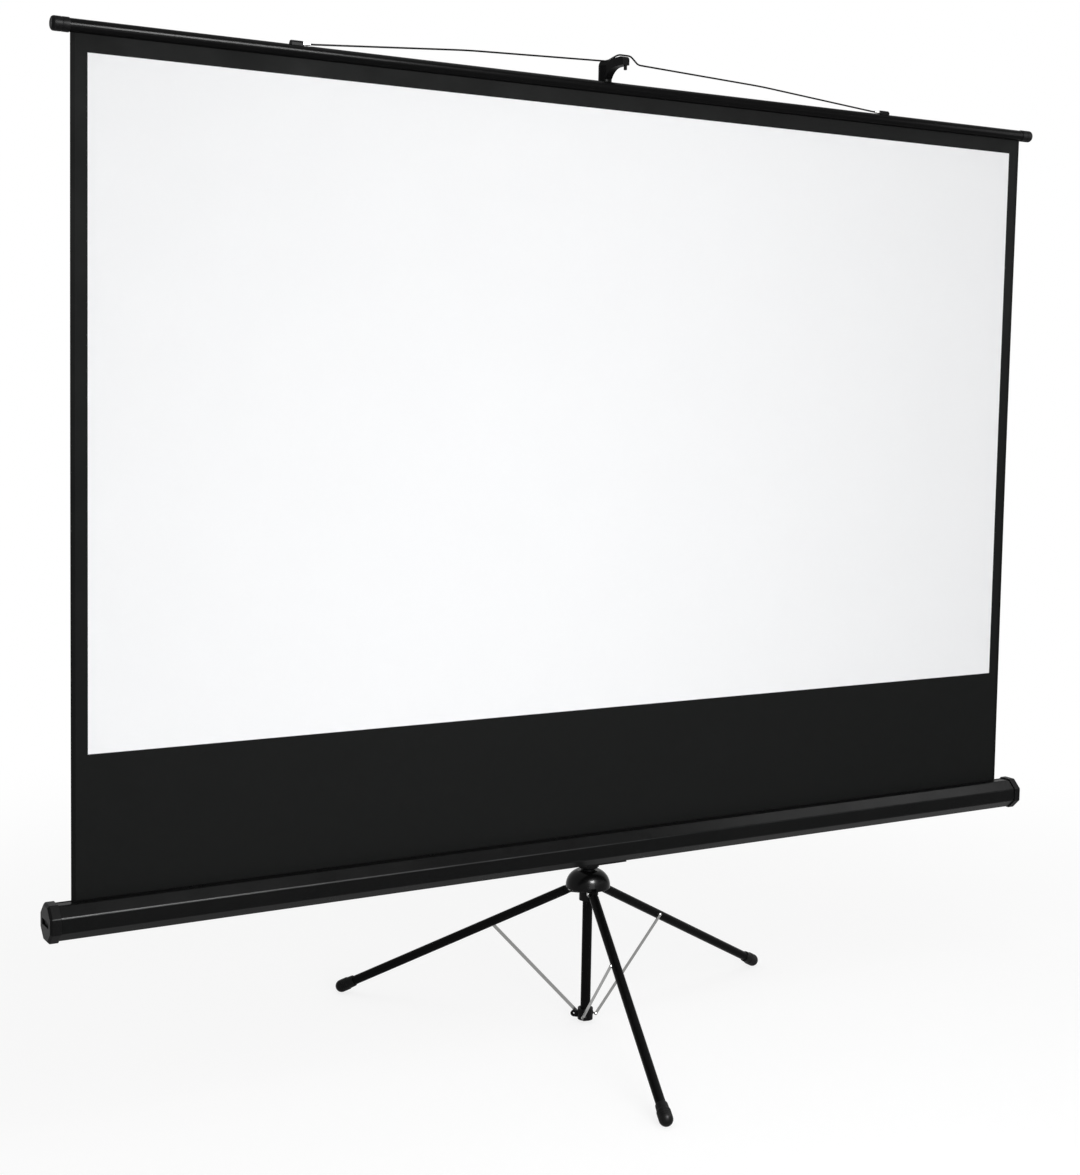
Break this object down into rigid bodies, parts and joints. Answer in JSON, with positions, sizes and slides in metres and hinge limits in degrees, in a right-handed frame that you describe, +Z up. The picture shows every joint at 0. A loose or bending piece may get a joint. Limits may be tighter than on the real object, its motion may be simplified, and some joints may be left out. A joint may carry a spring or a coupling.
{
  "type": "portable projection screen",
  "caption": "Pull-up projection screen on a folding tripod: white picture with black borders drawn from an octagonal case and hung by a wire bail from a hooked, telescoping mast.",
  "frame": {"origin": "on the floor, at the middle of the plan box of the standing screen", "axes": "+X along the case to the viewer's right, +Y away from the viewers, +Z up"},
  "size_m": [2.374, 0.9836, 2.0508],
  "materials": {
    "picture_white": "matt white coating",
    "cloth_black": "matt black coating",
    "tube_black": "black powder coat",
    "case_black": "satin black paint",
    "dome_gloss": "glossy black moulding",
    "plastic_black": "black moulding",
    "rubber_black": "matt rubber",
    "steel_bright": "polished strip",
    "ferrule_bright": "bright crimp",
    "nylon_white": "natural nylon",
    "roller_metal": "mill finish",
    "cast_black": "black painted casting",
    "bracket_black": "black painted sheet"
  },
  "bodies": {
    "tripod": {"hub_dome": "dome_gloss", "hub_socket": "steel_bright", "hub_bush": "nylon_white", "leg_pivot_pins": "steel_bright"},
    "centre": {"centre_tube": "tube_black", "spider": "plastic_black", "spider_rivets": "steel_bright"},
    "mast": {"column_tube": "tube_black", "mast_bush": "nylon_white", "mast_lock_collar": "plastic_black", "screen_cloth": "cloth_black", "picture_face": "picture_white", "screen_drop": "cloth_black"},
    "mast_knob": {"mast_lock_knob": "plastic_black", "mast_lock_stud": "steel_bright"},
    "extension": {"extension_tube": "tube_black", "extension_plug": "plastic_black", "hook_head": "cast_black", "batten_tube": "tube_black", "hem_rod": "steel_bright", "batten_cap_left": "plastic_black", "batten_cap_right": "plastic_black", "bail_clip_left": "cast_black", "bail_clip_right": "cast_black"},
    "bail": {"bail_wire": "tube_black", "bail_ferrules": "ferrule_bright"},
    "case": {"carriage_sleeve": "plastic_black", "case_bracket": "bracket_black", "pivot_washer": "steel_bright", "pivot_stud": "steel_bright", "bracket_rivets": "steel_bright", "case_shell": "case_black", "end_cap_left": "plastic_black", "end_cap_right": "plastic_black", "spring_spindle": "steel_bright"},
    "case_knob": {"case_lock_knob": "plastic_black", "case_lock_stud": "steel_bright"},
    "roller": {"roller_tube": "roller_metal", "cloth_roll": "cloth_black", "roller_idle_plug": "plastic_black", "roller_spring_plug": "plastic_black", "roller_spring": "steel_bright"},
    "leg_front": {"leg_tube_front": "tube_black", "leg_hinge_front": "plastic_black", "foot_boot_front": "rubber_black"},
    "brace_front": {"brace_strip_front": "steel_bright", "brace_rivet_front": "steel_bright"},
    "leg_right": {"leg_tube_right": "tube_black", "leg_hinge_right": "plastic_black", "foot_boot_right": "rubber_black"},
    "brace_right": {"brace_strip_right": "steel_bright", "brace_rivet_right": "steel_bright"},
    "leg_left": {"leg_tube_left": "tube_black", "leg_hinge_left": "plastic_black", "foot_boot_left": "rubber_black"},
    "brace_left": {"brace_strip_left": "steel_bright", "brace_rivet_left": "steel_bright"}
  },
  "joints": [
    {"name": "tripod_fold", "type": "hinge", "parent": "tripod", "child": "leg_front", "pos_m": [-0.01089, 0.02905, 0.291], "axis": [0.9581, -0.2865, 0], "range_deg": [0, 60]},
    {"name": "brace_fold_front", "type": "hinge", "parent": "centre", "child": "brace_front", "pos_m": [-0.01684, 0.04858, 0.014], "axis": [0.9581, -0.2865, 0], "range_deg": [-46, 0]},
    {"name": "leg_fold_right", "type": "hinge", "parent": "tripod", "child": "leg_right", "pos_m": [0.03697, 0.07423, 0.291], "axis": [-0.2309, 0.973, 0], "range_deg": [0, 60]},
    {"name": "brace_fold_right", "type": "hinge", "parent": "centre", "child": "brace_right", "pos_m": [0.02304, 0.05931, 0.014], "axis": [-0.2309, 0.973, 0], "range_deg": [-46, 0]},
    {"name": "leg_fold_left", "type": "hinge", "parent": "tripod", "child": "leg_left", "pos_m": [-0.02609, 0.09309, 0.291], "axis": [-0.7272, -0.6865, 0], "range_deg": [0, 60]},
    {"name": "brace_fold_left", "type": "hinge", "parent": "centre", "child": "brace_left", "pos_m": [-0.0062, 0.08849, 0.014], "axis": [-0.7272, -0.6865, 0], "range_deg": [-46, 0]},
    {"name": "spider_slide", "type": "slide", "parent": "tripod", "child": "centre", "axis": [0, 0, 1], "range_m": [-0.215, 0]},
    {"name": "screen_turn", "type": "hinge", "parent": "tripod", "child": "mast", "pos_m": [0, 0.06546, 0.291], "axis": [0, 0, 1], "continuous": true},
    {"name": "mast_extension", "type": "slide", "parent": "mast", "child": "extension", "axis": [0, 0, 1], "range_m": [-0.78, 0], "deforming": ["screen_cloth", "picture_face"]},
    {"name": "case_height", "type": "slide", "parent": "mast", "child": "case", "axis": [0, 0, 1], "range_m": [0, 0.25], "deforming": ["screen_drop"]},
    {"name": "roller_spin", "type": "hinge", "parent": "case", "child": "roller", "pos_m": [0, -0.00224, 0.397], "axis": [1, 0, 0], "range_deg": [-3000, 0]},
    {"name": "bail_swing", "type": "hinge", "parent": "extension", "child": "bail", "pos_m": [0, 0.01346, 1.9996], "axis": [1, 0, 0], "range_deg": [-43, 0]},
    {"name": "mast_knob_turn", "type": "hinge", "parent": "mast", "child": "mast_knob", "pos_m": [0, 0.09546, 1.161], "axis": [0, 1, 0], "range_deg": [0, 360]},
    {"name": "case_knob_turn", "type": "hinge", "parent": "case", "child": "case_knob", "pos_m": [0, 0.09546, 0.379], "axis": [0, 1, 0], "range_deg": [0, 360]}
  ],
  "couplings": [
    {"joint": "brace_fold_front", "follows": "tripod_fold", "ratio": -0.71582},
    {"joint": "leg_fold_right", "follows": "tripod_fold", "ratio": 1},
    {"joint": "brace_fold_right", "follows": "tripod_fold", "ratio": -0.71582},
    {"joint": "leg_fold_left", "follows": "tripod_fold", "ratio": 1},
    {"joint": "brace_fold_left", "follows": "tripod_fold", "ratio": -0.71582},
    {"joint": "spider_slide", "follows": "tripod_fold", "m_per_rad": -0.19222},
    {"joint": "roller_spin", "follows": "mast_extension", "rad_per_m": 65.79}
  ]
}
